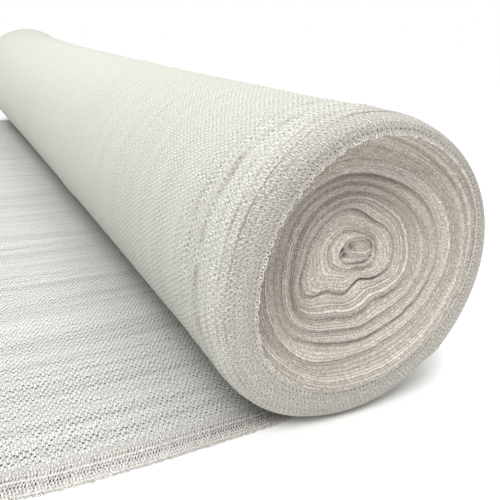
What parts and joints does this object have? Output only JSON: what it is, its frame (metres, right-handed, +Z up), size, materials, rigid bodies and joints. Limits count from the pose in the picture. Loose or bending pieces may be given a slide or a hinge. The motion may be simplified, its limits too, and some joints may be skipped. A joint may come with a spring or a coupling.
{
  "type": "shade cloth roll",
  "caption": "Roll of white knitted shade cloth wound on itself, with its loose end drawn out flat beside it.",
  "frame": {"origin": "on the ground, in the middle of the flat spot that the roll rests on", "axes": "+Y along the roll from its near end to its far end, +Z up, the loose end lies towards -X"},
  "size_m": [0.5993, 1.866, 0.2957],
  "materials": {
    "knitted_cloth": "matte knitted mesh of fine white polyethylene yarn"
  },
  "bodies": {
    "root": {"wound_roll": "knitted_cloth", "loose_end": "knitted_cloth"}
  },
  "joints": []
}
